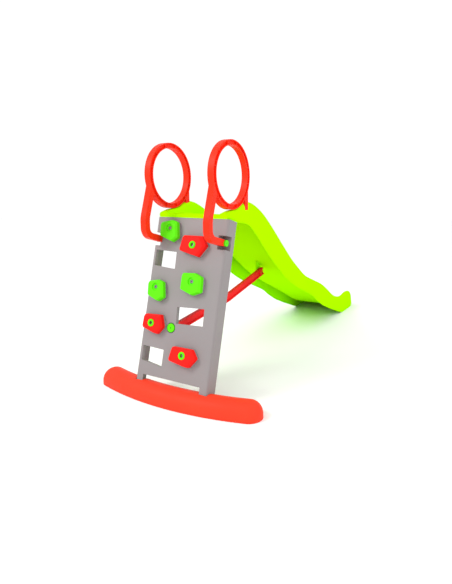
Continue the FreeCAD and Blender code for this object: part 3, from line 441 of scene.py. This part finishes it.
# ---- holds ------------------------------------------------------------------
# Outlines are drawn round the hold's own screw: across the wall, and up it.
GREEN_TOP = [(-61, 28), (6, 42), (39, 31), (54, -44), (22, -67), (-53, -42)]
GREEN_WIDE = [(-61, 38), (10, 42), (52, 25), (57, -46), (8, -65), (-62, -42)]
GREEN_NARROW = [(-49, 26), (6, 37), (40, 27), (55, -46), (22, -69), (-43, -44)]
RED_TOP = [(-77, -22), (-64, 45), (46, 46), (77, 0), (36, -56), (-73, -32)]
RED_BOTTOM = [(-79, -24), (-66, 34), (48, 35), (77, -4), (38, -52), (-74, -34)]
RED_NARROW = [(-54, -16), (-51, 40), (50, 45), (70, -12), (40, -51), (-49, -27)]
# outline, place across the wall in metres, share of the climbing face's height
HOLDS = {
    "hold_green_top_left": (GREEN_TOP, -0.103, 0.925),
    "hold_green_mid_left": (GREEN_NARROW, -0.140, 0.551),
    "hold_green_mid_right": (GREEN_WIDE, 0.066, 0.608),
    "hold_red_top_right": (RED_TOP, 0.045, 0.829),
    "hold_red_low_left": (RED_NARROW, -0.135, 0.327),
    "hold_red_bottom_right": (RED_BOTTOM, 0.069, 0.166),
}
HOLD_STEP, HOLD_HEIGHT = 0.016, 0.024  # where the bevel starts, and the flat top
HOLD_CORNER = 0.009
# size of the outline, shift towards the lower left and height of each ring up a hold's
# side; close pairs keep its edges crisp
HOLD_PROFILE = [(1.0, 0.0, 0.0), (0.995, 0.0, 0.0016), (0.968, 0.0, HOLD_STEP - 0.0016),
                (0.958, 0.0, HOLD_STEP + 0.0009), (0.856, 0.0036, HOLD_HEIGHT - 0.0010),
                (0.836, 0.0040, HOLD_HEIGHT)]
BOLT_SEAT = 0.013  # above the pad
DISH_DEPTH, DISH_LIP = 0.006, 0.0012
COLLAR_DISH, GREEN_DISH, BORE = 0.0182, 0.0190, 0.0100  # radii


def hold_mesh(name):
    """A hold with drafted sides, a bevel, a flat top, and a dish and bore for its bolt."""
    outline, across, share = HOLDS[name]
    up = face_height(share)
    corners = [(u / 1000, v / 1000) for u, v in outline]
    rings = []

    def add_ring(loop, height):
        rings.append([on_wall(across + p.x, -PAD - height, up + p.y) for p in loop])

    for factor, shift, height in HOLD_PROFILE:
        top = rounded_outline(scaled(corners, factor, (-shift, -0.75 * shift)), HOLD_CORNER)
        add_ring(top, height)
    dish = COLLAR_DISH if name.startswith("hold_red") else GREEN_DISH
    add_ring([p.lerp(p.normalized() * dish, 0.5) for p in top], HOLD_HEIGHT)
    for radius, height in ((dish + DISH_LIP, HOLD_HEIGHT), (dish, HOLD_HEIGHT - 0.0010),
                           (dish, HOLD_HEIGHT - DISH_DEPTH), (BORE, HOLD_HEIGHT - DISH_DEPTH),
                           (BORE, BOLT_SEAT)):
        add_ring([p.normalized() * radius for p in top], height)
    form = bmesh.new()
    loft(form, rings)
    return mesh_of(name, form, 24.0)


class HoldFinish(bpy.types.PropertyGroup):
    green: FloatVectorProperty(name="Green", description="Tint of the green holds",
                               subtype="COLOR", size=3, default=(0.110, 0.780, 0.004))
    red: FloatVectorProperty(name="Red", description="Tint of the red holds",
                             subtype="COLOR", size=3, default=(0.860, 0.012, 0.008))


class FINISH_OT_holds(bpy.types.Operator):
    """Makes the six bolt-on holds"""
    bl_idname = "climbing_wall.holds"
    bl_label = "Holds"

    def execute(self, context):
        look = context.scene.wall_holds
        green = made_once("green hold plastic", moulded_plastic, look.green,
                          darker(look.green, 0.86), roughness=0.44, grain=0.16,
                          specular=0.1)
        red = made_once("red hold plastic", moulded_plastic, look.red,
                        darker(look.red, 0.86), roughness=0.42, grain=0.16,
                        specular=0.1)
        for name in HOLDS:
            is_red = name.startswith("hold_red")
            piece = new_object(name.replace("hold", "climbing_hold"), hold_mesh(name))
            finish(dressed(piece, red if is_red else green),
                   "red_plastic" if is_red else "green_plastic", name)
        return {"FINISHED"}


# ---- slide ------------------------------------------------------------------
TOP_FRONT = UPPER_EDGE * SIN - 0.002  # front of the deck
DECK_Z = UPPER_EDGE * COS + 0.0134
RING_RADIUS = 0.1599  # of the handles that stand on the rails
RING_Y = TOP_FRONT + 0.059
REAR_LEG_Y = RING_Y + 0.7892 * RING_RADIUS
SADDLE_Z = DECK_Z + 0.0264  # rail's top, where a ring stands on it
CREST_Y = REAR_LEG_Y + 0.025
RUN = SLIDE_LENGTH - CREST_Y
SLIDE_WALL = 0.0036


def down(part, z_share):
    """A knot of the slope: share of the run past the crest, share of the deck's height."""
    return CREST_Y + part * RUN, z_share * DECK_Z


# The slide's side view: top of its rail, ridge along its side, lower edge of its side, bed.
RIM = [(TOP_FRONT, DECK_Z + 0.014), (TOP_FRONT + 0.030, SADDLE_Z - 0.004), (RING_Y, SADDLE_Z),
       (RING_Y + 0.050, SADDLE_Z + 0.005), (REAR_LEG_Y - 0.020, SADDLE_Z + 0.028),
       (CREST_Y, SADDLE_Z + 0.035),
       down(0.035, 1.055), down(0.087, 1.002), down(0.143, 0.918), down(0.214, 0.798),
       down(0.294, 0.665), down(0.347, 0.590), down(0.422, 0.495), down(0.515, 0.421),
       down(0.593, 0.361), down(0.656, 0.295), down(0.722, 0.218), down(0.776, 0.173),
       down(0.832, 0.156), down(0.890, 0.170), down(0.938, 0.157), down(0.970, 0.110),
       down(0.987, 0.060), down(1.0, 0.022)]
RIDGE = [(TOP_FRONT, DECK_Z - 0.004), (RING_Y + 0.014, DECK_Z - 0.022),
         (CREST_Y - 0.010, DECK_Z - 0.047),
         down(0.041, 0.879), down(0.098, 0.773), down(0.166, 0.662), down(0.243, 0.547),
         down(0.327, 0.453), down(0.406, 0.384), down(0.486, 0.313), down(0.530, 0.257),
         down(0.60, 0.185), down(0.66, 0.131), down(0.755, 0.060), down(0.82, 0.026),
         down(0.86, 0.020), down(1.0, 0.016)]
SKIRT = [(TOP_FRONT, DECK_Z - 0.010), (TOP_FRONT + 0.045, DECK_Z - 0.022),
         (RING_Y + 0.014, DECK_Z - 0.030), (CREST_Y - 0.010, DECK_Z - 0.053),
         down(0.041, 0.873), down(0.098, 0.767), down(0.166, 0.656), down(0.243, 0.541),
         down(0.327, 0.447), down(0.406, 0.378), down(0.486, 0.307), down(0.530, 0.251),
         down(0.598, 0.176), down(0.647, 0.138), down(0.699, 0.100), down(0.753, 0.053),
         down(0.80, 0.018), down(0.835, 0.0), down(1.0, 0.0)]
BED = [(TOP_FRONT, DECK_Z), (RING_Y + 0.060, DECK_Z), (CREST_Y - 0.010, DECK_Z - 0.010),
       down(0.041, 0.945), down(0.098, 0.860), down(0.166, 0.745), down(0.243, 0.625),
       down(0.327, 0.513), down(0.406, 0.430), down(0.486, 0.355), down(0.56, 0.285),
       down(0.64, 0.210), down(0.72, 0.135), down(0.79, 0.085), down(0.85, 0.062),
       down(0.91, 0.050), down(0.96, 0.034), down(1.0, 0.014)]
# how far the sides stand out past their usual place
WIDEN = [(CREST_Y, 0.0), down(0.74, 0.0), (CREST_Y + 0.84 * RUN, 0.012),
         (CREST_Y + 0.95 * RUN, 0.012), (CREST_Y + 0.98 * RUN, 0.0), (SLIDE_LENGTH, -0.022)]
RAIL_WIDTH, SKIRT_INSET, BAND_INSET = 0.046, 0.012, 0.009
LUG_THICK, LUG_HALF_WIDTH = 0.010, 0.022
# places over the deck, from its front edge to the crest, where cross-sections lie
DECK_SHARES = (0.0, 0.03, 0.07, 0.12, 0.2, 0.28, 0.36, 0.45, 0.54, 0.63, 0.72, 0.8, 0.88, 0.95)
# how far each corner of half the cross-section is rounded, from the side's lower edge inwards
CORNER_RADII = [0.003, 0.007, 0.007, 0.008, 0.009, 0.012, 0.009, 0.010, 0.016, 0.012]


def slide_section(y, wall, half_width):
    """Half of the slide's cross-section as (x, z) corners of one skin.

    They run from the lower edge of the side up over the rail and down to the bed. wall is
    how far the skin lies inside the outer one."""
    rim, ridge, skirt, bed = (smooth_line(line, y) for line in (RIM, RIDGE, SKIRT, BED))
    out = half_width + smooth_line(WIDEN, y)
    rail = max(rim - bed, 0.004)  # height of the rail over the bed
    below = max(min(skirt, ridge - 0.006), 0.0)  # lower edge of the side
    side = min(0.008, (ridge - below) * 0.5)  # from the ridge down to the side's flat
    skirt_out = out - SKIRT_INSET * min(1.0, max(0.35, (ridge - below) / 0.060))
    drop = min(0.015, rail * 0.3)  # from the rail's crown to its shoulders
    w = wall
    return [
        (skirt_out - w, below),
        (skirt_out + 0.001 - w, ridge - side - w * 0.4),
        (out - w, ridge + min(0.004, rail * 0.2) - w * 0.4),
        (out - BAND_INSET + 0.002 - w, rim - drop - w * 0.5),
        (out - BAND_INSET - 0.005 - w * 0.6, rim - drop * 0.22 - w * 0.8),
        (out - RAIL_WIDTH * 0.45, rim - w),
        (out - RAIL_WIDTH + 0.012 + w * 0.6, rim - drop * 0.22 - w * 0.8),
        (out - RAIL_WIDTH + 0.004 + w, rim - drop - w * 0.5),
        (out - RAIL_WIDTH - 0.003 + w, bed + rail * 0.12 - w * 0.5),
        (out - RAIL_WIDTH - 0.014 + w * 0.5, bed + rail * 0.02 - w),
    ]


def eased(corners, radii, steps=4):
    """An open line with each inner corner turned into a short curve."""
    points = [Vector(corner) for corner in corners]
    line = [points[0]]
    for i in range(1, len(points) - 1):
        before, after = points[i - 1] - points[i], points[i + 1] - points[i]
        reach = min(radii[i], before.length * 0.42, after.length * 0.42)
        start = points[i] + before.normalized() * reach
        end = points[i] + after.normalized() * reach
        for k in range(steps + 1):
            t = k / steps
            line.append(start * (1 - t) ** 2 + points[i] * (2 * t * (1 - t)) + end * t ** 2)
    line.append(points[-1])
    return line


def whole_section(y, wall, half_width):
    """The section from the right side over to the left one, its corners eased."""
    half = slide_section(y, wall, half_width)
    mirrored = [(-x, z) for x, z in reversed(half)]
    radii = CORNER_RADII + CORNER_RADII[::-1]
    return [(p.x, p.y) for p in eased(half + mirrored, radii)]


def slide_stations(count):
    """Places along the slide, closer together where it starts."""
    head = [TOP_FRONT + part * (CREST_Y - TOP_FRONT) for part in DECK_SHARES]
    return head + [CREST_Y + RUN * k / count for k in range(count + 1)]


def slide_mesh(half_width, stations):
    """The slide: one skin over the rails and the bed, a thin wall, and turned-in edges."""
    form = bmesh.new()
    rings = []
    for y in slide_stations(stations):
        outer = whole_section(y, 0.0, half_width)
        inner = whole_section(y, SLIDE_WALL, half_width)
        place = y + FACE_LINE_Y
        rings.append([Vector((x, place, z)) for x, z in outer]
                     + [Vector((x, place, z)) for x, z in reversed(inner)])
    rows = loft(form, rings, capped=False)
    half = len(rows[0]) // 2
    for row in (rows[0], rows[-1]):
        for i in range(half - 1):
            j = len(row) - 1 - i
            form.faces.new((row[i], row[i + 1], row[j - 1], row[j]))
    return mesh_of("slide shell", form, 50.0)


def apron_mesh(half_width):
    """The upright wall that closes the front of the deck, between and inside the rails."""
    form = bmesh.new()
    y = TOP_FRONT + 0.0010
    skin = slide_section(y, SLIDE_WALL / 2, half_width)[2:]
    outline = [(skin[0][0], UPPER_EDGE * COS + 0.0004)] + skin
    outline = outline + [(-x, z) for x, z in reversed(outline)]
    rings = [[Vector((x, depth + FACE_LINE_Y, z)) for x, z in outline]
             for depth in (y, y + SLIDE_WALL)]
    loft(form, rings)
    return mesh_of("slide apron", form, 30.0)


def lug_mesh():
    """The lug that hangs from the bed, where the end of the brace is bolted on."""
    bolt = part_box("brace_slide_bolt")
    middle = (bolt[0] + bolt[1]) / 2
    x = bolt[0].x + BOLT_HEAD_HEIGHT
    tops = [(y, smooth_line(BED, y - FACE_LINE_Y) - SLIDE_WALL / 2)
            for y in (middle.y - LUG_HALF_WIDTH, middle.y + LUG_HALF_WIDTH)]
    low = middle.z - LUG_HALF_WIDTH
    side = [(tops[0][0], low), (tops[1][0], low), tops[1], tops[0]]
    form = bmesh.new()
    loft(form, [[Vector((across, y, z)) for y, z in side] for across in (x, x + LUG_THICK)])
    return mesh_of("slide lug", form, 30.0)


class SlideShape(bpy.types.PropertyGroup):
    half_width: FloatProperty(name="Half Width", subtype="DISTANCE", unit="LENGTH",
                              description="From the middle to the ridge on the slide's side",
                              default=0.200)
    stations: IntProperty(name="Stations", default=110, min=30, max=200,
                          description="Cross-sections along the slide below its crest")
    lime: FloatVectorProperty(name="Lime", description="Tint of the slide", subtype="COLOR",
                              size=3, default=(0.420, 1.000, 0.000))


class FINISH_OT_slide(bpy.types.Operator):
    """Makes the slide with its rails, its apron and the lug for the brace"""
    bl_idname = "climbing_wall.slide"
    bl_label = "Slide"

    def execute(self, context):
        look = context.scene.wall_slide
        lime = made_once("lime slide plastic", moulded_plastic, look.lime,
                         darker(look.lime, 0.95), roughness=0.50, grain=0.08, clouding=1.6,
                         specular=0.0)
        for name, mesh in (("slide_shell", slide_mesh(look.half_width, look.stations)),
                           ("slide_apron", apron_mesh(look.half_width)),
                           ("slide_lug", lug_mesh())):
            finish(dressed(new_object(name, mesh), lime), "slide_plastic", "slide_body")
        return {"FINISHED"}


# ---- panel, base, brace and handles -----------------------------------------
class PanelFinish(bpy.types.PropertyGroup):
    grey: FloatVectorProperty(name="Grey", description="Tint of the climbing panel",
                              subtype="COLOR", size=3, default=(0.275, 0.250, 0.250))
    rounding: FloatProperty(name="Rounding", subtype="DISTANCE", unit="LENGTH", default=0.0012,
                            description="Radius of the panel's softened edges")


class FINISH_OT_panel(bpy.types.Operator):
    """Makes the climbing panel with its windows, pads, notches and feet"""
    bl_idname = "climbing_wall.panel"
    bl_label = "Climbing Panel"

    def execute(self, context):
        look = context.scene.wall_panel
        grey = made_once("warm grey panel plastic", moulded_plastic, look.grey,
                         darker(look.grey, 0.93), roughness=0.42, grain=0.14, clouding=2.2,
                         specular=0.2)
        piece = soften(joined_copy("climbing_wall_panel", "climbing_panel"), look.rounding)
        finish(dressed(piece, grey), "panel_plastic", "climbing_panel")
        return {"FINISHED"}


class BaseFinish(bpy.types.PropertyGroup):
    coral: FloatVectorProperty(name="Coral", description="Tint of the bow-shaped base",
                               subtype="COLOR", size=3, default=(0.880, 0.052, 0.022))
    rounding: FloatProperty(name="Rounding", subtype="DISTANCE", unit="LENGTH", default=0.0015,
                            description="Radius of the base's softened edges")


class FINISH_OT_base(bpy.types.Operator):
    """Makes the bow-shaped base"""
    bl_idname = "climbing_wall.base"
    bl_label = "Base"

    def execute(self, context):
        look = context.scene.wall_base
        coral = made_once("coral base plastic", moulded_plastic, look.coral,
                          darker(look.coral, 0.90), roughness=0.50, grain=0.18, clouding=4.0,
                          specular=0.08)
        piece = soften(joined_copy("base_bow_shell", "base_bow"), look.rounding)
        finish(dressed(piece, coral), "base_plastic", "base_bow")
        return {"FINISHED"}


class BraceFinish(bpy.types.PropertyGroup):
    red: FloatVectorProperty(name="Red", description="Tint of the brace", subtype="COLOR",
                             size=3, default=(0.930, 0.018, 0.018))
    rounding: FloatProperty(name="Rounding", subtype="DISTANCE", unit="LENGTH", default=0.0015,
                            description="Radius of the brace's softened edges")


class FINISH_OT_brace(bpy.types.Operator):
    """Makes the brace between the panel and the slide"""
    bl_idname = "climbing_wall.brace"
    bl_label = "Brace"

    def execute(self, context):
        look = context.scene.wall_brace
        red = made_once("red brace plastic", moulded_plastic, look.red,
                        darker(look.red, 0.88), roughness=0.42, grain=0.14, clouding=5.0,
                        specular=0.1)
        piece = soften(joined_copy("brace_arm", "brace"), look.rounding)
        finish(dressed(piece, red), "red_plastic", "brace")
        return {"FINISHED"}


class HandleFinish(bpy.types.PropertyGroup):
    orange: FloatVectorProperty(name="Orange Red", description="Tint of the ring handles",
                                subtype="COLOR", size=3, default=(0.940, 0.028, 0.006))


class FINISH_OT_handles(bpy.types.Operator):
    """Makes the two ring handles"""
    bl_idname = "climbing_wall.handles"
    bl_label = "Ring Handles"

    def execute(self, context):
        look = context.scene.wall_handles
        orange = made_once("orange red handle plastic", moulded_plastic, look.orange,
                           darker(look.orange, 0.90), roughness=0.42, grain=0.0,
                           clouding=5.0, specular=0.12)
        for side in ("left", "right"):
            piece = joined_copy(f"ring_handle_{side}", f"handle_{side}")
            finish(dressed(piece, orange), "handle_plastic", f"handle_{side}")
        return {"FINISHED"}


# ---- fasteners --------------------------------------------------------------
class FastenerSizes(bpy.types.PropertyGroup):
    bolt_head: FloatProperty(name="Bolt Head", subtype="DISTANCE", unit="LENGTH",
                             default=0.0085, description="Radius of a hold bolt's head")
    steel: FloatVectorProperty(name="Steel", description="Tint of the plated steel",
                               subtype="COLOR", size=3, default=(0.30, 0.30, 0.29))
    cap_green: FloatVectorProperty(name="Cap Green", description="Tint of the green caps",
                                   subtype="COLOR", size=3, default=(0.110, 0.780, 0.004))


# CAD node: piece that takes its place
GREEN_CAPS = {"handle_foot_bolt_left": "handle_foot_cap_left",
              "handle_foot_bolt_right": "handle_foot_cap_right",
              "brace_cap_bolt": "brace_foot_cap"}
STEEL_SETS = {"handle_foot_nuts": "handle_nut_pair", "handle_leg_screws": "leg_screw_pair",
              "deck_screws": "deck_screw_pair", "base_screws": "base_screw_set",
              "brace_foot_nut": "brace_nut", "brace_slide_bolt": "brace_end_bolt",
              "hold_nuts": "hold_nut_set"}


class FINISH_OT_fasteners(bpy.types.Operator):
    """Makes the bolts, nuts, screws, collars and caps"""
    bl_idname = "climbing_wall.fasteners"
    bl_label = "Fasteners"

    def execute(self, context):
        look = context.scene.wall_fasteners
        steel = made_once("zinc plated steel", zinc_steel, look.steel)
        green = made_once("green cap plastic", moulded_plastic, look.cap_green,
                          darker(look.cap_green, 0.85), roughness=0.44, grain=0.06,
                          specular=0.1)
        bolts, collars = [], []
        for name, (_, across, share) in HOLDS.items():
            up = face_height(share)
            bolts.append((on_wall(across, -PAD - BOLT_SEAT, up), OUT_OF_WALL))
            if name.startswith("hold_red"):
                collars.append((on_wall(across, -PAD - HOLD_HEIGHT + DISH_DEPTH, up),
                                OUT_OF_WALL))
        piece = screw_workings().make("hold_bolt_set", places("hold bolts", bolts), steel,
                                      **{"Head Radius": look.bolt_head})
        finish(piece, "steel", "hold_bolts")
        piece = ring_cap_workings().make("hold_collar_set", places("hold collars", collars),
                                         green)
        finish(piece, "green_plastic", "hold_ring_caps")
        for nodes, material, slot in ((GREEN_CAPS, green, "green_plastic"),
                                      (STEEL_SETS, steel, "steel")):
            for node, name in nodes.items():
                finish(dressed(joined_copy(name, node), material), slot, node)
        return {"FINISHED"}


# ---- stage ------------------------------------------------------------------
FLOOR_GAP = 0.0005  # floor below the object's lowest point
# place, what it points at, size, share of the key light's power
LIGHTS = {"key light": ((-1.9, -3.4, 3.2), (0.0, -0.6, 0.6), 1.6, 1.0),
          "fill light": ((3.6, -1.6, 2.2), (0.0, 0.0, 0.5), 1.8, 0.35)}
CAMERA_PLACE = (1.3318, -2.6537, 0.9930)
CAMERA_DIP, CAMERA_TURN = 0.173, 0.4865  # below the level, and round to the left
LENS, SENSOR, SHIFT = 28.14, 36.0, (-0.0651, -0.0404)


class StageSetting(bpy.types.PropertyGroup):
    floor_half: FloatProperty(name="Floor Half Size", subtype="DISTANCE", unit="LENGTH",
                              default=14.0, description="Half the side of the pale floor")
    key_power: FloatProperty(name="Key Light", unit="POWER", default=80.0,
                             description="Power of the large soft light")
    sky: FloatProperty(name="Sky Strength", default=1.05,
                       description="Strength of the even white surroundings")


def soft_light(name, place, target, size, power):
    lamp = bpy.data.lights.new(name, "AREA")
    lamp.shape = "DISK"
    lamp.size = size
    lamp.energy = power
    holder = new_object(name, lamp)
    holder.location = place
    holder.rotation_euler = (Vector(target) - Vector(place)).to_track_quat("-Z", "Y").to_euler()
    return holder


class FINISH_OT_stage(bpy.types.Operator):
    """Sets out the pale floor, the soft studio light and the camera"""
    bl_idname = "climbing_wall.stage"
    bl_label = "Stage"

    def execute(self, context):
        look = context.scene.wall_stage
        form = bmesh.new()
        half = look.floor_half
        form.faces.new([form.verts.new((x, y, -FLOOR_GAP)) for x, y in
                        ((-half, -half), (half, -half), (half, half), (-half, half))])
        mesh = bpy.data.meshes.new("floor")
        form.to_mesh(mesh)
        form.free()
        pale = bpy.data.materials.new("pale studio floor")
        pale.use_nodes = True
        shader = pale.node_tree.nodes["Principled BSDF"]
        shader.inputs["Base Color"].default_value = (0.96, 0.96, 0.96, 1.0)
        shader.inputs["Roughness"].default_value = 0.9
        shader.inputs["Specular IOR Level"].default_value = 0.1
        mesh.materials.append(pale)
        new_object("studio_floor", mesh)

        world = bpy.data.worlds.new("even white room")
        world.use_nodes = True
        sky = world.node_tree.nodes["Background"]
        sky.inputs["Color"].default_value = (1.0, 1.0, 1.0, 1.0)
        sky.inputs["Strength"].default_value = look.sky
        context.scene.world = world
        for name, (place, target, size, share) in LIGHTS.items():
            soft_light(name, place, target, size, look.key_power * share)
        context.scene.view_settings.view_transform = "Standard"

        lens = bpy.data.cameras.new("studio camera")
        lens.lens = LENS
        lens.sensor_width = SENSOR
        lens.shift_x, lens.shift_y = SHIFT
        camera = new_object("studio camera", lens)
        camera.location = CAMERA_PLACE
        camera.rotation_euler = Euler((math.pi / 2 - CAMERA_DIP, 0.0, CAMERA_TURN))
        context.scene.camera = camera
        return {"FINISHED"}


# ---- panel in the sidebar ---------------------------------------------------
GROUPS = {"wall_panel": PanelFinish, "wall_base": BaseFinish, "wall_slide": SlideShape,
          "wall_handles": HandleFinish, "wall_brace": BraceFinish, "wall_holds": HoldFinish,
          "wall_fasteners": FastenerSizes, "wall_stage": StageSetting}
STEPS = (FINISH_OT_panel, FINISH_OT_base, FINISH_OT_slide, FINISH_OT_handles, FINISH_OT_brace,
         FINISH_OT_holds, FINISH_OT_fasteners, FINISH_OT_stage)


class FINISH_PT_sidebar(bpy.types.Panel):
    """Lists the steps that build the climbing wall, with their sizes and colours"""
    bl_idname = "FINISH_PT_sidebar"
    bl_label = "Climbing Wall and Slide"
    bl_space_type = "VIEW_3D"
    bl_region_type = "UI"
    bl_category = "Climbing Wall"

    def draw(self, context):
        for step, group in zip(STEPS, GROUPS):
            box = self.layout.box()
            box.operator(step.bl_idname)
            settings = getattr(context.scene, group)
            for key in settings.bl_rna.properties.keys():
                if key not in ("rna_type", "name"):
                    box.prop(settings, key)


def register():
    for group in GROUPS.values():
        bpy.utils.register_class(group)
    for key, group in GROUPS.items():
        setattr(bpy.types.Scene, key, PointerProperty(type=group))
    for step in (*STEPS, FINISH_PT_sidebar):
        bpy.utils.register_class(step)


def unregister():
    for step in (FINISH_PT_sidebar, *reversed(STEPS)):
        bpy.utils.unregister_class(step)
    for key in GROUPS:
        delattr(bpy.types.Scene, key)
    for group in GROUPS.values():
        bpy.utils.unregister_class(group)


def main():
    """Builds every piece and the stage."""
    register()
    steps = bpy.ops.climbing_wall
    steps.panel()
    steps.base()
    steps.slide()
    steps.handles()
    steps.brace()
    steps.holds()
    steps.fasteners()
    steps.stage()
    bpy.context.view_layer.update()


if __name__ == "__main__":
    main()
